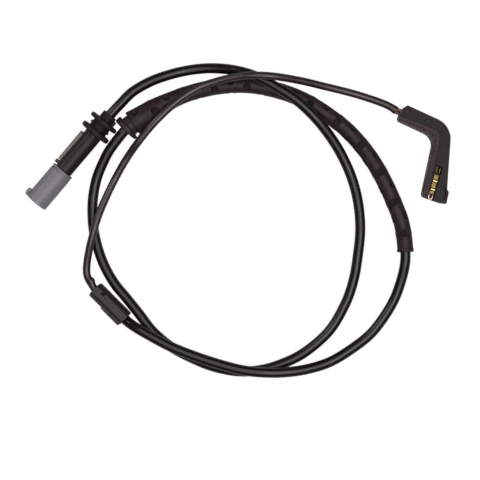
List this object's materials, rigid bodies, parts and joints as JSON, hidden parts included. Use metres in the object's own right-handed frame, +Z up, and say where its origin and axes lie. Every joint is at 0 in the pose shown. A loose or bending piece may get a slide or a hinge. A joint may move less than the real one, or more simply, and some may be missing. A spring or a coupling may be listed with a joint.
{
  "type": "brake pad wear sensor",
  "caption": "Wear sensor lead laid in a loop: round plug with bracket grommet, sheathed cable, splice block and thin lead to an L-shaped moulded sensor head that clips into a brake pad.",
  "frame": {"origin": "on the table under the middle of the plug, sleeve, splice block and head, with the lead lying as in the picture", "axes": "+Z up from the table; +X to the picture's right, from the plug towards the sensor head; +Y to the picture's top"},
  "size_m": [0.2125, 0.157, 0.0172],
  "materials": {
    "grey_plastic": "mid-grey moulded plastic with a satin surface",
    "black_plastic": "black glass-filled plastic, satin to matte",
    "black_rubber": "matte black-brown moulded rubber",
    "cable_jacket": "smooth black cable jacket with a soft gloss",
    "seal_rubber": "soft orange-brown sealing rubber",
    "tinned_contact": "tinned copper alloy, fine grain",
    "brass": "bare stamped brass",
    "copper": "bare copper wire, drawn",
    "core_brown": "brown-red core insulation",
    "core_black": "black core insulation"
  },
  "bodies": {
    "root": {"plug_shell": "grey_plastic", "contact_carrier": "black_plastic", "face_seal": "seal_rubber", "terminal_1": "tinned_contact", "terminal_2": "tinned_contact", "plug_core_1": "core_brown", "plug_core_2": "core_black", "barrel": "black_plastic", "cable_seal": "seal_rubber", "bracket_grommet": "black_rubber", "main_cable": "cable_jacket", "protective_sleeve": "black_rubber", "splice_cap": "black_plastic", "splice_housing": "black_plastic", "splice_crimp_1": "tinned_contact", "splice_crimp_2": "tinned_contact", "branch_cable": "cable_jacket", "sensor_head": "black_plastic", "head_core_1": "core_brown", "head_core_2": "core_black", "contact_crimp_1": "brass", "contact_crimp_2": "brass", "spring_contact": "brass", "wear_loop": "copper"}
  },
  "joints": []
}
